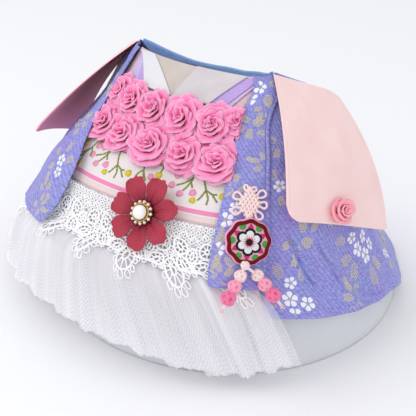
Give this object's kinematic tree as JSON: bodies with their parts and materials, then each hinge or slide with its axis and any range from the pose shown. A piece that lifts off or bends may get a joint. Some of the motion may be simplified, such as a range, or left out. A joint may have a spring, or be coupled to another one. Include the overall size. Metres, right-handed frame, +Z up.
{
  "type": "hanfu cape for a small pet on a round display form",
  "caption": "Open-necked layered hanfu cape with crossed collar, lapels, short flaps, frilled tulle skirt and ornaments, resting on a smooth limbless display form.",
  "frame": {"origin": "centre of the display form's flat underside, where it stands", "axes": "+Z up, -Y towards the garment's front, +X towards the wearer's left"},
  "size_m": [0.2956, 0.302, 0.1874],
  "materials": {
    "blue_brocade": "woven brocade with a satin figure",
    "sky_satin": "satin",
    "pale_pink_satin": "satin",
    "pale_pink_cotton": "matt cotton",
    "beige_satin": "satin",
    "grey_satin": "satin",
    "lilac_crepe": "crepe",
    "white_weave": "dotted weave",
    "pink_chiffon": "sheer chiffon",
    "printed_felt": "printed cotton felt",
    "pink_edging": "mesh edging",
    "white_tulle": "tulle net",
    "white_lace": "guipure lace",
    "coral_satin": "satin ribbon",
    "rose_leather": "matt soft leather",
    "gilt_setting": "polished",
    "pearl": "pearl lustre",
    "pale_cord": "satin cord",
    "mid_pink_cord": "satin cord",
    "deep_pink_cord": "satin cord",
    "pendant_embroidery": "embroidered",
    "display_form": "smooth satin"
  },
  "bodies": {
    "root": {"ball_left_1": "pale_cord", "ball_left_2": "mid_pink_cord", "ball_left_3": "deep_pink_cord", "ball_right_1": "pale_cord", "ball_right_2": "mid_pink_cord", "ball_right_3": "deep_pink_cord", "bib_panel": "pale_pink_cotton", "brooch_pearl": "pearl", "brooch_petal_1": "rose_leather", "brooch_petal_2": "rose_leather", "brooch_petal_3": "rose_leather", "brooch_petal_4": "rose_leather", "brooch_petal_5": "rose_leather", "brooch_petal_6": "rose_leather", "brooch_petal_7": "rose_leather", "brooch_setting": "gilt_setting", "cape_back": "blue_brocade", "cape_left": "blue_brocade", "cape_right": "blue_brocade", "collar_beige": "beige_satin", "collar_grey": "grey_satin", "collar_lilac_left": "lilac_crepe", "collar_lilac_right": "lilac_crepe", "collar_white": "white_weave", "cord_end_left": "pale_cord", "cord_end_right": "pale_cord", "display_form": "display_form", "flap_left": "pale_pink_satin", "flap_right": "pale_pink_satin", "lace_trim": "white_lace", "lapel_left": "blue_brocade", "lapel_right": "blue_brocade", "neck_binding": "sky_satin", "ornament_knot": "pale_cord", "ornament_pendant": "pendant_embroidery", "print_band": "printed_felt", "rose_trim": "pink_chiffon", "satin_rose": "coral_satin", "tulle_outer": "white_tulle", "tulle_under": "white_tulle", "underskirt": "pale_pink_cotton", "waist_edging": "pink_edging"}
  },
  "joints": []
}
